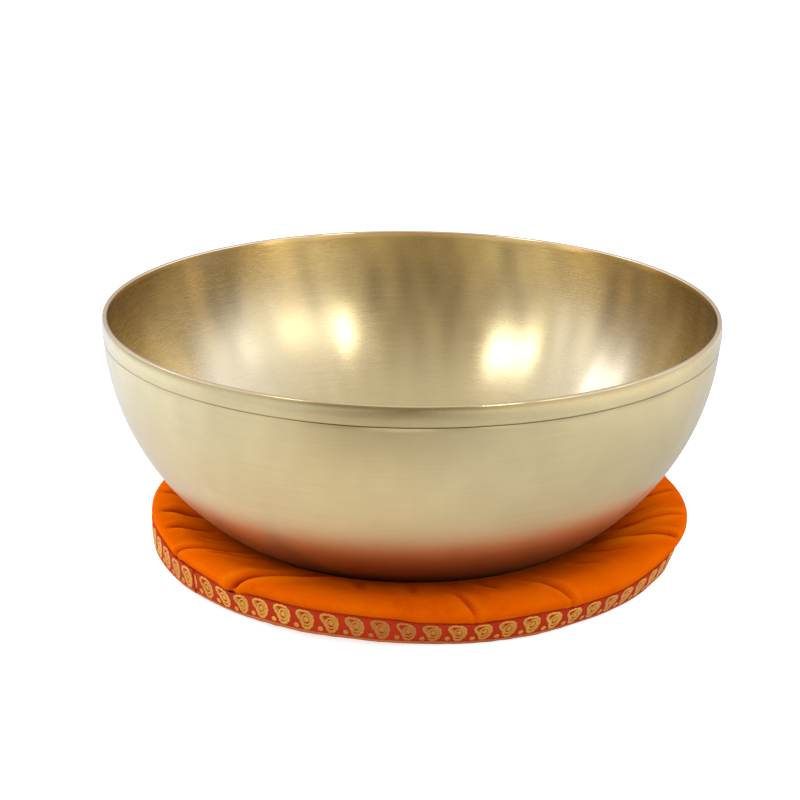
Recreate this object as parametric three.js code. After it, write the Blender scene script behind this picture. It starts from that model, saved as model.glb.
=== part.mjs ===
// Large singing bowl of brushed bronze, resting in the dent that it presses into its own round
// cushion. The cushion is a velvet top cover over a soft filling, a plain base cover, and a woven
// ribbon sewn round the side.
// Units are millimetres and +Z is up. z = 0 is the surface that the cushion lies on, and the
// origin is on the bowl's axis.

import * as THREE from "three";

// Facets round every turned piece, and the clearance kept between pieces that touch.
const FACETS = 60;
const GAP = 0.3;

// Bowl: a flat floor, then one smooth curve up to the incised line, then the band and the rim.
// The rim's outer corner keeps a small share of its rounding, and the band stands a hair proud.
const BOWL_HEIGHT = 121;
const BOWL_LIFT = 5;
const FLOOR_RADIUS = 41;
const FLOOR_PULL = 83;
const LINE_RADIUS = 149.1;
const LINE_DROP = 9.8;
const WALL_PULL = new THREE.Vector2(144, 41);
const RIM_RADIUS = 150;
const RIM_WALL = 3.1;
const RIM_ROUNDING = 0.9;
const RIM_CORNER = 0.3;
const LINE_WIDTH = 0.7;
const LINE_DEPTH = 0.35;
const BAND_STEP = 0.05;

// Inside of the bowl. The wall is thickest at the rim and thinnest in the belly.
const FLOOR_WALL = 2.8;
const INNER_FLOOR_RADIUS = 41;
const INNER_FLOOR_PULL = 83;
const INNER_WALL_PULL = new THREE.Vector2(146.2, 44);

// Cushion, measured round its own middle before its edge curls up.
const PAD_RADIUS = 131.6;
const COVER_THICKNESS = 1.2;
const BASE_THICKNESS = 1;
const RIBBON_THICKNESS = 0.8;
const RIBBON_BOTTOM = 0.5;
const RIBBON_HEIGHT = 11.5;
const DENT_RADIUS = 90;
const SHOULDER_HEIGHT = 21.2;
const SHOULDER_WIDTH = 15;
const SHOULDER_SIDE = 13;
const SIDE_RADIUS = PAD_RADIUS - RIBBON_THICKNESS - GAP;
const THREAD_RADIUS = 0.25;
const THREAD_INSET = 0.9;

// How the cover's curves leave the dent, meet the shoulder, leave it again and reach the side.
const CREST_START = new THREE.Vector2(8, 3.6);
const CREST_END = new THREE.Vector2(-12, 0.4);
const ROLL_START = new THREE.Vector2(8, -0.3);
const ROLL_END = new THREE.Vector2(0, 5);

// The bowl's weight curls the cushion's edge up, more at the sides than in front, and the bowl
// stands a little off the cushion's middle.
const CURL_START = 95;
const CURL_FRONT = 5;
const CURL_SIDE = 8;
const PAD_OFFSET = new THREE.Vector2(3, 8);

// Steps along the walls of the bowl and along the cushion's crest and roll, and the distance
// between the rings of its underside where the edge curls.
const OUTER_STEPS = 16;
const INNER_STEPS = 14;
const CREST_STEPS = 6;
const ROLL_STEPS = 5;
const CURL_STEP = 12;

const point = (radius, height) => new THREE.Vector2(radius, height);

const bronze = new THREE.MeshStandardMaterial({ color: "#b9a077", roughness: 0.34, metalness: 1 });
const velvet = new THREE.MeshStandardMaterial({ color: "#d65a08", roughness: 0.9, metalness: 0 });
const cotton = new THREE.MeshStandardMaterial({ color: "#c8590f", roughness: 0.95, metalness: 0 });
const padding = new THREE.MeshStandardMaterial({ color: "#efe9dc", roughness: 1, metalness: 0 });
const brocade = new THREE.MeshStandardMaterial({ color: "#b5362a", roughness: 0.6, metalness: 0.1 });
const upperThread = new THREE.MeshStandardMaterial({ color: "#a3200f", roughness: 0.8, metalness: 0 });
const lowerThread = new THREE.MeshStandardMaterial({ color: "#d9701a", roughness: 0.8, metalness: 0 });

// Turns a profile of (radius, height) points about +Z.
function turned(profile) {
  const geometry = new THREE.LatheGeometry(profile, FACETS);
  geometry.rotateX(Math.PI / 2);
  return geometry;
}

// The same line moved sideways: a positive distance goes to the left of its direction.
function offsetLine(line, distance) {
  return line.map((here, i) => {
    const before = line[Math.max(i - 1, 0)];
    const after = line[Math.min(i + 1, line.length - 1)];
    const along = after.clone().sub(before).normalize();
    return point(here.x - along.y * distance, here.y + along.x * distance);
  });
}

// Outside of the bowl from its floor's edge up to the incised line.
function bowlWall() {
  return new THREE.CubicBezierCurve(
    point(FLOOR_RADIUS, BOWL_LIFT),
    point(FLOOR_PULL, BOWL_LIFT),
    point(WALL_PULL.x, WALL_PULL.y + BOWL_LIFT),
    point(LINE_RADIUS, BOWL_LIFT + BOWL_HEIGHT - LINE_DROP - LINE_WIDTH / 2),
  ).getPoints(OUTER_STEPS);
}

// Inside of the bowl, from the rim down to its floor's edge.
function bowlInside() {
  const floor = BOWL_LIFT + FLOOR_WALL;
  return new THREE.CubicBezierCurve(
    point(RIM_RADIUS - RIM_WALL, BOWL_LIFT + BOWL_HEIGHT - RIM_ROUNDING / 2),
    point(INNER_WALL_PULL.x, INNER_WALL_PULL.y + BOWL_LIFT),
    point(INNER_FLOOR_PULL, floor),
    point(INNER_FLOOR_RADIUS, floor),
  ).getPoints(INNER_STEPS);
}

function singingBowl() {
  const rim = BOWL_LIFT + BOWL_HEIGHT;
  const line = rim - LINE_DROP;
  const profile = [
    point(0, BOWL_LIFT),
    ...bowlWall(),
    point(LINE_RADIUS - LINE_DEPTH, line),
    point(LINE_RADIUS + BAND_STEP, line + LINE_WIDTH / 2),
    point(RIM_RADIUS, rim - RIM_ROUNDING),
    point(RIM_RADIUS - RIM_ROUNDING * RIM_CORNER, rim - RIM_ROUNDING * RIM_CORNER),
    point(RIM_RADIUS - RIM_ROUNDING, rim),
    point(RIM_RADIUS - RIM_WALL + RIM_ROUNDING / 2, rim),
    ...bowlInside(),
    point(0, BOWL_LIFT + FLOOR_WALL),
  ];
  return turned(profile);
}

// Outside of the velvet cover: the dent under the bowl, the crest round it, the shoulder that
// rolls over the edge above the ribbon, and the side down to the base cover.
function coverSkin() {
  const dent = [point(0, BOWL_LIFT), ...bowlWall().filter((at) => at.x < DENT_RADIUS)];
  const pressed = offsetLine(dent, -GAP);
  const dentEdge = pressed[pressed.length - 1];
  const shoulder = point(SIDE_RADIUS - SHOULDER_WIDTH, SHOULDER_HEIGHT);
  const sideTop = point(SIDE_RADIUS, SHOULDER_SIDE);
  const sideFoot = point(SIDE_RADIUS, BASE_THICKNESS + GAP);
  const crest = new THREE.CubicBezierCurve(
    dentEdge,
    dentEdge.clone().add(CREST_START),
    shoulder.clone().add(CREST_END),
    shoulder,
  ).getPoints(CREST_STEPS);
  const roll = new THREE.CubicBezierCurve(
    shoulder,
    shoulder.clone().add(ROLL_START),
    sideTop.clone().add(ROLL_END),
    sideTop,
  ).getPoints(ROLL_STEPS);
  return [...pressed, ...crest.slice(1), ...roll.slice(1), sideFoot];
}

// Moves a cushion piece from its flat, centred shape to the way it lies under the bowl.
function settle(geometry) {
  const place = geometry.attributes.position;
  for (let i = 0; i < place.count; i += 1) {
    const x = place.getX(i);
    const y = place.getY(i);
    const radius = Math.hypot(x, y);
    const outward = Math.max(0, (radius - CURL_START) / (PAD_RADIUS - CURL_START));
    const sideways = radius > 0 ? (x / radius) ** 2 : 0;
    const curl = CURL_FRONT + (CURL_SIDE - CURL_FRONT) * sideways;
    place.setX(i, x + PAD_OFFSET.x * outward);
    place.setY(i, y + PAD_OFFSET.y * outward);
    place.setZ(i, place.getZ(i) + curl * outward ** 2);
  }
  return geometry;
}

function cushionTopCover() {
  const skin = coverSkin();
  const lining = offsetLine(skin, -COVER_THICKNESS);
  return settle(turned([...lining, ...skin.reverse()]));
}

// A level line from the axis out to where the cushion's side begins, with the points that the
// curl needs.
function underLine(height) {
  const stops = [0, CURL_START, CURL_START + CURL_STEP, CURL_START + 2 * CURL_STEP, SIDE_RADIUS];
  return stops.map((radius) => point(radius, height));
}

function cushionFilling() {
  const bottom = underLine(BASE_THICKNESS + GAP).slice(0, -1);
  const body = offsetLine(coverSkin(), -COVER_THICKNESS - GAP);
  return settle(turned([...bottom, ...body.reverse()]));
}

function cushionBaseCover() {
  return settle(turned([...underLine(0), ...underLine(BASE_THICKNESS).reverse()]));
}

function brocadeRibbon() {
  const inner = PAD_RADIUS - RIBBON_THICKNESS;
  const top = RIBBON_BOTTOM + RIBBON_HEIGHT;
  const middle = RIBBON_BOTTOM + RIBBON_HEIGHT / 2;
  const profile = [
    point(inner, RIBBON_BOTTOM),
    point(PAD_RADIUS, RIBBON_BOTTOM),
    point(PAD_RADIUS, middle),
    point(PAD_RADIUS, top),
    point(inner, top),
    point(inner, RIBBON_BOTTOM),
  ];
  return settle(turned(profile));
}

// A line of stitching lies on the ribbon's face, close to one of its edges.
function seamThread(height) {
  const middle = PAD_RADIUS + GAP + THREAD_RADIUS;
  const profile = [
    point(middle - THREAD_RADIUS, height),
    point(middle, height - THREAD_RADIUS),
    point(middle + THREAD_RADIUS, height),
    point(middle, height + THREAD_RADIUS),
    point(middle - THREAD_RADIUS, height),
  ];
  return settle(turned(profile));
}

function piece(name, geometry, material) {
  const mesh = new THREE.Mesh(geometry, material);
  mesh.name = name;
  return mesh;
}

const upperSeam = RIBBON_BOTTOM + RIBBON_HEIGHT - THREAD_INSET;
const lowerSeam = RIBBON_BOTTOM + THREAD_INSET;

const bowlOnCushion = new THREE.Group();
bowlOnCushion.add(
  piece("singing_bowl", singingBowl(), bronze),
  piece("cushion_top_cover", cushionTopCover(), velvet),
  piece("cushion_filling", cushionFilling(), padding),
  piece("cushion_base_cover", cushionBaseCover(), cotton),
  piece("brocade_ribbon", brocadeRibbon(), brocade),
  piece("upper_seam_thread", seamThread(upperSeam), upperThread),
  piece("lower_seam_thread", seamThread(lowerSeam), lowerThread),
);

export default bowlOnCushion;
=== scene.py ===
# Looks for the singing bowl on its velvet cushion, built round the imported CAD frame.
# Lengths are in metres in the frame's own axes: +Z up, the bowl's axis through the origin, and
# the cushion lying on z = 0. Angles round the bowl are in degrees from +X towards +Y.

import math

import bpy
import numpy as np
from mathutils import Matrix, Vector


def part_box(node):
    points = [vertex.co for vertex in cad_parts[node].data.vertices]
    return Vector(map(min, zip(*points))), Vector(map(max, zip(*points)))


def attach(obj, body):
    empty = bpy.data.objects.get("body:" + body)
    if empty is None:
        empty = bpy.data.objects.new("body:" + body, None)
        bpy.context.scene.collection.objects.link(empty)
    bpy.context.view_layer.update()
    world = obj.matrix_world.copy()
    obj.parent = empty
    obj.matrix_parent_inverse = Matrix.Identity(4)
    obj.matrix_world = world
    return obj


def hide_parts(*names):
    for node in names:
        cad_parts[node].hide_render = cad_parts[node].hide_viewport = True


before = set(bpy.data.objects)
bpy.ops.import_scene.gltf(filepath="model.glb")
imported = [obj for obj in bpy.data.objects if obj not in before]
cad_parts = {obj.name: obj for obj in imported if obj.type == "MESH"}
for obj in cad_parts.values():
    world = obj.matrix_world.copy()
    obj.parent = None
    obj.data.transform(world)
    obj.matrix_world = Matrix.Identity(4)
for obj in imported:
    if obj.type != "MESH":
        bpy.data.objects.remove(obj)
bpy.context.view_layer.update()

MM = 0.001
TAU = 2 * math.pi

# ---------------------------------------------------------------- sizes taken from the frame

bowl_low, bowl_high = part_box("singing_bowl")
ribbon_low, ribbon_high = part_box("brocade_ribbon")

RIM_RADIUS = bowl_high.x
RIM_Z = bowl_high.z
BOWL_BASE_Z = bowl_low.z
PAD_RADIUS = (ribbon_high.x - ribbon_low.x) / 2
PAD_CENTRE = np.array([(ribbon_high.x + ribbon_low.x) / 2, (ribbon_high.y + ribbon_low.y) / 2])

# The same driving dimensions as the CAD source, for the curves that it turns.
FLOOR_RADIUS = 41 * MM
FLOOR_PULL = 83 * MM
WALL_PULL = (144 * MM, 41 * MM)
LINE_RADIUS = 149.1 * MM
LINE_DROP = 9.8 * MM
RIM_WALL = 3.1 * MM
FLOOR_WALL = 2.8 * MM
INNER_WALL_PULL = (146.2 * MM, 44 * MM)
GAP = 0.3 * MM
CURL_START = 95 * MM
CURL_FRONT = 5 * MM
CURL_SIDE = 8 * MM
COVER_THICKNESS = 1.2 * MM
BASE_THICKNESS = 1.0 * MM


# ---------------------------------------------------------------- small helpers


def new_object(name, data):
    made = bpy.data.objects.new(name, data)
    bpy.context.scene.collection.objects.link(made)
    return made


def face_outwards(mesh):
    """Turns every face round when the mesh looks inwards, by the sign of its volume."""
    middles, normals, areas = (np.empty(size * len(mesh.polygons)) for size in (3, 3, 1))
    mesh.polygons.foreach_get("center", middles)
    mesh.polygons.foreach_get("normal", normals)
    mesh.polygons.foreach_get("area", areas)
    if (middles * normals).reshape(-1, 3).sum(1) @ areas < 0:
        mesh.flip_normals()


def mesh_from(name, vertices, faces, smooth=True):
    mesh = bpy.data.meshes.new(name)
    mesh.from_pydata(np.asarray(vertices, float).tolist(), [], faces)
    if smooth:
        mesh.polygons.foreach_set("use_smooth", [True] * len(mesh.polygons))
    mesh.validate()
    mesh.update()
    face_outwards(mesh)
    return mesh


def ring_faces(rings, facets, start=0):
    """Quads between neighbouring rings of a grid whose vertices run ring by ring."""
    faces = []
    for i in range(rings - 1):
        low = start + i * facets
        high = low + facets
        for j in range(facets):
            k = (j + 1) % facets
            faces.append((low + j, low + k, high + k, high + j))
    return faces


def pole_faces(rings, facets):
    """Triangles that close both ends of a grid of rings with the two points that follow it."""
    first, last = rings * facets, (rings - 1) * facets
    faces = []
    for j in range(facets):
        k = (j + 1) % facets
        faces += [(first, k, j), (first + 1, last + j, last + k)]
    return faces


def tube_faces(rings, facets, start=0):
    """The faces of a closed tube: its wall and one flat face over each end."""
    last = start + (rings - 1) * facets
    ends = [
        tuple(start + i for i in reversed(range(facets))),
        tuple(last + i for i in range(facets)),
    ]
    return ring_faces(rings, facets, start) + ends


def add_float_attribute(mesh, name, values):
    attribute = mesh.attributes.new(name, "FLOAT", "POINT")
    attribute.data.foreach_set("value", np.asarray(values, np.float32))


def bezier(points, steps):
    """Points of a cubic Bezier curve at equal steps."""
    p = np.array(points, float)
    t = np.linspace(0, 1, steps + 1)[:, None]
    u = 1 - t
    return u**3 * p[0] + 3 * u**2 * t * p[1] + 3 * u * t**2 * p[2] + t**3 * p[3]


def run_length(line):
    """How far along a flat line each of its points is."""
    return np.concatenate([[0], np.cumsum(np.hypot(*np.diff(line, axis=0).T))])


def right_turned(along):
    """Unit vectors a quarter turn to the right of flat directions."""
    along = along / (np.hypot(*along.T)[:, None] + 1e-12)
    return np.stack([along[:, 1], -along[:, 0]], 1)


def right_of(line):
    """The unit normals on the right-hand side of an open flat line."""
    return right_turned(np.gradient(line, axis=0))


def even_steps(line, steps):
    """The same line with its points evenly spaced along its length."""
    line = np.asarray(line, float)
    length = run_length(line)
    at = np.linspace(0, length[-1], steps + 1)
    return np.stack([np.interp(at, length, line[:, 0]), np.interp(at, length, line[:, 1])], 1)


def smooth_step(x):
    x = np.clip(x, 0, 1)
    return x * x * (3 - 2 * x)


def angle_between(a, b):
    """Signed difference a - b in degrees, wrapped to -180 .. 180."""
    return (np.asarray(a) - b + 180) % 360 - 180


def bell(x):
    """A bell curve that is 1 at 0 and falls to 0.37 at 1."""
    return np.exp(-(x**2))


def lobe(angles, centre, width):
    """A bell curve round a place on the circle, in degrees."""
    return bell(angle_between(angles, centre) / width)


def waves(angles, seed, orders, power=1.0):
    """Smooth noise round the circle: a seeded sum of whole waves, about 1 at most."""
    draw = np.random.default_rng(seed)
    total = np.zeros_like(angles)
    weight = 0
    for n in orders:
        size = draw.uniform(0.5, 1.0) / n**power
        total += size * np.cos(np.radians(angles) * n + draw.uniform(0, TAU))
        weight += size
    return total / weight


# ---------------------------------------------------------------- bowl

# Which part of the bowl a point is on.
OUTSIDE, RIM, LINE, INSIDE = range(4)

BOWL_FACETS = 400
OUTER_RINGS = 78
INNER_RINGS = 84
LINE_WIDTH = 0.42 * MM
LINE_DEPTH = 0.3 * MM
# How far the incised line strays, how much of the wall goes with it, and how its depth changes.
LINE_WANDER = 0.22 * MM
LINE_REACH = 1.6 * MM
CUT_CHANGE = 0.12 * MM
NICK_ANGLE = 272
NICK_DEPTH = 0.25 * MM
# The angle at which the incised line is darkest; it is paler away from it.
LINE_DARKEST = 270

# Kinds of random waves in the wall: how many, their orders round the bowl, and how far they may
# lean, in radians for each metre of height.
DENTS = (30, (5, 16), 30)
FLUTES = (24, (14, 30), 25)
STREAKS = (60, (14, 66), 150)
# How deep the flutes are against the dents, how deep both go on each side of the wall, and how
# much of the inside's streaks the outside has.
FLUTE_SHARE = 0.42
INSIDE_DENT = 0.22 * MM
OUTSIDE_DENT = 0.035 * MM
OUTSIDE_STREAKS = 0.12

# Painted highlights: warm gleams down the inside wall, given as angle, half width in degrees, and
# strength.
PAINTED_GLEAMS = [
    (141, 2.6, 0.9),
    (126, 3.0, 0.55),
    (118, 4.0, 0.7),
    (106, 4.0, 0.35),
    (75, 4.0, 0.3),
    (61, 2.6, 0.5),
    (49, 3.0, 0.45),
]
# The same for the painted shade at both sides of the inside wall.
SHADED_SIDES = [(172, 24, 0.6), (9, 22, 0.5)]


def painted_gleam(angles, height):
    """How much painted highlight brightens the inside wall at each angle and height."""
    total = np.zeros(np.broadcast(angles, height).shape)
    for centre, width, strength in PAINTED_GLEAMS:
        drift = 6 * (height / RIM_Z - 0.8)
        total += strength * lobe(angles, centre + drift, width)
    return np.minimum(total * smooth_step((height / RIM_Z - 0.42) / 0.3), 1)


def wall_waves(draw, kind, angles, level):
    """One kind of random waves, the next that draw gives, at each angle and height."""
    many, orders, lean = kind
    total = np.zeros(np.broadcast(angles, level).shape)
    for _ in range(many):
        order = draw.integers(*orders)
        rise = draw.uniform(-lean, lean)
        total += np.cos(np.radians(angles) * order + level * rise + draw.uniform(0, TAU))
    return total / many**0.5


def outer_wall(top, steps):
    """The outside of the bowl's wall, from its flat floor up to the height top."""
    return bezier(
        [
            (FLOOR_RADIUS, BOWL_BASE_Z),
            (FLOOR_PULL, BOWL_BASE_Z),
            (WALL_PULL[0], WALL_PULL[1] + BOWL_BASE_Z),
            (LINE_RADIUS, top),
        ],
        steps,
    )


def bowl_profile():
    """(radius, height) from the axis under the floor, up the outside, over the rim and down the
    inside to the axis again, and which part each point is on."""
    line_z = RIM_Z - LINE_DROP
    below = line_z - LINE_WIDTH / 2
    above = line_z + LINE_WIDTH / 2
    inner_edge = RIM_RADIUS - RIM_WALL
    rim_start = (RIM_RADIUS - 0.85 * MM, RIM_Z - 0.38 * MM)
    rim_end = (inner_edge + 0.45 * MM, RIM_Z - 0.12 * MM)
    lip_end = (inner_edge, RIM_Z - 1.0 * MM)
    groove = [
        (LINE_RADIUS + 0.01 * MM, below + 0.05 * MM),
        (LINE_RADIUS - 0.6 * LINE_DEPTH, line_z - 0.09 * MM),
        (LINE_RADIUS - LINE_DEPTH, line_z),
        (LINE_RADIUS - 0.6 * LINE_DEPTH, line_z + 0.09 * MM),
        (LINE_RADIUS + 0.05 * MM, above - 0.05 * MM),
        (LINE_RADIUS + 0.08 * MM, above),
    ]
    band = bezier(
        [
            (LINE_RADIUS + 0.08 * MM, above),
            (RIM_RADIUS - 0.35 * MM, RIM_Z - 6.6 * MM),
            (RIM_RADIUS + 0.05 * MM, RIM_Z - 3.8 * MM),
            rim_start,
        ],
        20,
    )[1:]
    rim = bezier(
        [
            rim_start,
            (RIM_RADIUS - 1.05 * MM, RIM_Z + 0.02 * MM),
            (inner_edge + 0.9 * MM, RIM_Z + 0.03 * MM),
            rim_end,
        ],
        10,
    )[1:]
    lip = bezier(
        [
            rim_end,
            (inner_edge + 0.15 * MM, RIM_Z - 0.2 * MM),
            (inner_edge, RIM_Z - 0.45 * MM),
            lip_end,
        ],
        5,
    )[1:]
    inside = bezier(
        [
            lip_end,
            (INNER_WALL_PULL[0], INNER_WALL_PULL[1] + BOWL_BASE_Z),
            (FLOOR_PULL, BOWL_BASE_Z + FLOOR_WALL),
            (FLOOR_RADIUS, BOWL_BASE_Z + FLOOR_WALL),
        ],
        400,
    )
    floor_steps = np.linspace(0.001, 1, 12)[:-1, None]
    under = floor_steps * [[FLOOR_RADIUS, 0]] + [[0, BOWL_BASE_Z]]
    bottom = floor_steps[::-1] * [[FLOOR_RADIUS, 0]] + [[0, BOWL_BASE_Z + FLOOR_WALL]]
    parts = [
        (under, OUTSIDE),
        (even_steps(outer_wall(below, 400), OUTER_RINGS), OUTSIDE),
        (np.array(groove), LINE),
        (band, OUTSIDE),
        (rim, RIM),
        (lip, RIM),
        (even_steps(inside, INNER_RINGS)[1:], INSIDE),
        (bottom, INSIDE),
    ]
    line = np.concatenate([p for p, _ in parts])
    part = np.concatenate([np.full(len(p), k, float) for p, k in parts])
    return line, part


def make_bowl():
    line, part = bowl_profile()
    angles = np.arange(BOWL_FACETS) * 360 / BOWL_FACETS
    radius = line[:, :1] + np.zeros((1, BOWL_FACETS))
    height = line[:, 1:] + np.zeros((1, BOWL_FACETS))
    normal = right_of(line)
    outside, rim, on_line, inside = ((part == k)[:, None] for k in (OUTSIDE, RIM, LINE, INSIDE))

    # Hand hammering leaves soft flats, deeper inside than outside, fading out at the floor.
    level = height - BOWL_BASE_Z
    draw = np.random.default_rng(11)
    dents = wall_waves(draw, DENTS, angles, level)
    dents = dents + inside * wall_waves(draw, FLUTES, angles, level) * FLUTE_SHARE
    mottle = wall_waves(draw, STREAKS, angles, level) * (inside + outside * OUTSIDE_STREAKS)
    fade = smooth_step((radius - 30 * MM) / (50 * MM)) * smooth_step((RIM_Z - height) / (9 * MM))
    mottle *= fade * (0.15 + 0.85 * smooth_step((height / RIM_Z - 0.4) / 0.4))
    move = dents * fade * (inside * INSIDE_DENT + outside * OUTSIDE_DENT)
    radius = radius + normal[:, :1] * move
    height = height + normal[:, 1:] * move

    # The incised line wanders a little, and was cut deeper in places.
    near = bell((line[:, 1:] - (RIM_Z - LINE_DROP)) / LINE_REACH)
    wander = waves(angles, 5, (2, 3, 5, 9, 14), 0.5) * LINE_WANDER
    height = height + near * ~inside * ~rim * wander
    cut = waves(angles, 8, (3, 7, 12, 25, 41, 60), 0.2)
    nick = lobe(angles, NICK_ANGLE, 0.5)
    groove = on_line * (radius < LINE_RADIUS - 0.1 * MM)
    radius = radius - groove * (CUT_CHANGE * cut + NICK_DEPTH * nick)

    turn = np.radians(angles)
    grid = np.stack([radius * np.cos(turn), radius * np.sin(turn), height], 2)
    vertices = grid.reshape(-1, 3).tolist()
    vertices += [[0, 0, BOWL_BASE_Z], [0, 0, BOWL_BASE_Z + FLOOR_WALL]]
    faces = ring_faces(len(line), BOWL_FACETS) + pole_faces(len(line), BOWL_FACETS)
    mesh = mesh_from("bowl", vertices, faces)

    def keep(name, values, poles=(0, 0)):
        """Stores one value for each point of the grid and for the two poles."""
        values = np.broadcast_to(values, radius.shape).ravel()
        add_float_attribute(mesh, name, np.append(values, poles))

    share = line[:, 1:] / RIM_Z
    length = run_length(line)
    keep("along", length[:, None], (0, length[-1]))
    keep("height", np.clip(share, 0, 1))
    # Painted shade: the outside is darkened towards its foot, standing in for the dark reflection
    # of the cushion close to the contact.
    keep("foot", (1 - smooth_step((share - 0.26) / 0.25)) * outside, (1, 0))
    keep("rim", rim)
    away = angle_between(angles, LINE_DARKEST)
    line_paler = smooth_step((-away - 5) / 45) + smooth_step((away - 5) / 85)
    keep("line", on_line * (0.8 - 0.45 * line_paler))
    # Painted highlight: warm bright streaks down the inside wall.
    keep("painted_gleam", painted_gleam(angles[None], line[:, 1:]) * inside)
    keep("mottle", mottle)
    # Painted shade: the inside wall is darkened towards both sides.
    side_shade = sum(k * lobe(angles, a, w) for a, w, k in SHADED_SIDES)
    keep("side_shade", side_shade * smooth_step((share - 0.3) / 0.4) * inside)

    kind = np.append(np.repeat(part, BOWL_FACETS), [OUTSIDE, INSIDE])
    inner = [min(kind[i] for i in p.vertices) == INSIDE for p in mesh.polygons]
    mesh.polygons.foreach_set("material_index", inner)
    return new_object("bowl_shell", mesh)


# ---------------------------------------------------------------- cushion shape

PAD_FACETS = 960
DENT_RINGS = 9
CREST_RINGS = 42
ROLL_RINGS = 20
LINING_STEP = 3
DENT_RADIUS = 90 * MM
SHOULDER_HEIGHT = 21.2 * MM
SHOULDER_WIDTH = 15 * MM
SEAM_TOP = 12.0 * MM
RIBBON_BOTTOM = 0.5 * MM
RIBBON_HEIGHT = 11.5 * MM
SIDE_RADIUS = PAD_RADIUS - 1.1 * MM


def curl(angles):
    side = np.cos(np.radians(angles)) ** 2
    return CURL_FRONT + (CURL_SIDE - CURL_FRONT) * side


def settle(radius, angles, height):
    """Where a point of the flat, centred cushion lies once the bowl has curled its edge up."""
    outward = np.maximum(0, (radius - CURL_START) / (PAD_RADIUS - CURL_START))
    turn = np.radians(angles)
    x = radius * np.cos(turn) + PAD_CENTRE[0] * outward
    y = radius * np.sin(turn) + PAD_CENTRE[1] * outward
    z = height + curl(angles) * outward**2
    return np.stack(np.broadcast_arrays(x, y, z), -1)


# Gathered folds. Each runs from an angle and radius out at the ribbon to an angle and radius in
# by the bowl, and has the depth of its valley, the height of the ridge beside it and its width,
# in millimetres. The higher ridge is on the side of growing angle, or of falling angle where the
# width is negative.
FOLDS = [
    (188.5, 127, 189, 97, 3.8, 1.3, 3.0),
    (198.5, 128, 200, 99, 3.2, 1.3, 2.7),
    (209, 136, 220, 97, 3.4, 1.3, 2.4),
    (229, 136, 247, 94, 5.0, 2.1, 3.4),
    (258, 112, 256, 97, 0.7, 0.4, 2.4),
    (270, 115, 271, 97, 0.6, 0.4, -2.4),
    (282.5, 137, 279, 110, 1.2, 0.9, -1.4),
    (291, 115, 287, 97, 0.8, 0.5, -2.4),
    (303.5, 136, 298, 103, 1.6, 1.1, -1.9),
    (320, 118, 316, 98, 0.8, 0.6, -2.6),
    (331, 118, 325, 97, 0.9, 0.7, -2.4),
    (341.5, 130, 334, 97, 4.8, 2.4, -3.0),
    (337, 117, 333, 99, 2.2, 1.2, -2.0),
    (347, 119, 339, 97, 0.8, 0.8, -2.0),
    (354, 130, 343, 98, 3.6, 2.0, -2.8),
    (0, 121, 351, 98, 0.8, 0.7, -2.2),
    (8, 128, 2, 101, 2.0, 1.0, -2.6),
    (20, 136, 24, 99, 3.6, 1.6, 2.8),
    (38, 128, 34, 103, 2.4, 1.1, -2.6),
    (47, 118, 46, 99, 1.0, 0.6, 2.0),
    (56, 136, 61, 98, 3.0, 1.5, 3.4),
    (74, 128, 71, 105, 2.2, 1.0, -2.6),
    (85, 117, 84, 98, 1.1, 0.7, -2.0),
    (94, 136, 97, 99, 2.6, 1.3, 3.2),
    (112, 128, 108, 102, 2.8, 1.2, -2.8),
    (120, 118, 122, 98, 1.0, 0.6, 2.0),
    (129, 136, 134, 98, 2.8, 1.4, 3.4),
    (147, 128, 143, 103, 2.6, 1.1, -2.6),
    (156, 117, 155, 98, 1.0, 0.7, 2.0),
    (165, 136, 168, 100, 2.6, 1.2, 2.8),
    (177, 128, 175, 104, 2.0, 0.9, -2.4),
    (204, 114, 209, 98, 0.9, 0.6, 1.8),
    (216, 120, 226, 98, 2.0, 1.0, 2.2),
]
# A fold whose outer radius is beyond this one, in millimetres, runs right into the seam.
SEAM_RADIUS = 133
# Distance from the cushion's axis at the shoulder, and the length of skin from there to the seam.
SHOULDER_REACH = 115.5 * MM
ROLL_LENGTH = 20 * MM


def fold_height(radius, angles):
    """How far the gathers lift the velvet (valleys are negative) at each point."""
    total = np.zeros(np.broadcast(radius, angles).shape)
    for out_angle, out_radius, in_angle, in_radius, depth, ridge, width in FOLDS:
        inward = (out_radius * MM - radius) / ((out_radius - in_radius) * MM)
        bend = np.clip(inward, 0, 1.3) ** 1.25
        path = out_angle + angle_between(in_angle, out_angle) * bend
        across = np.radians(angle_between(angles, path)) * radius / MM * math.copysign(1, width)
        wide = abs(width) * (0.75 + 0.5 * smooth_step(inward / 0.5))
        valley = -depth * bell(across / wide)
        crown = ridge * bell((across - 1.75 * wide) / (1.15 * wide))
        bank = 0.7 * ridge * bell((across + 1.9 * wide) / (1.3 * wide))
        if out_radius > SEAM_RADIUS:
            start = smooth_step(0.5 + 1.6 * inward)
        else:
            start = smooth_step((inward + 0.05) / 0.35)
        total += (valley + crown + bank) * start * (1 - smooth_step((inward - 0.5) / 0.6))
    return total * MM


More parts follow.
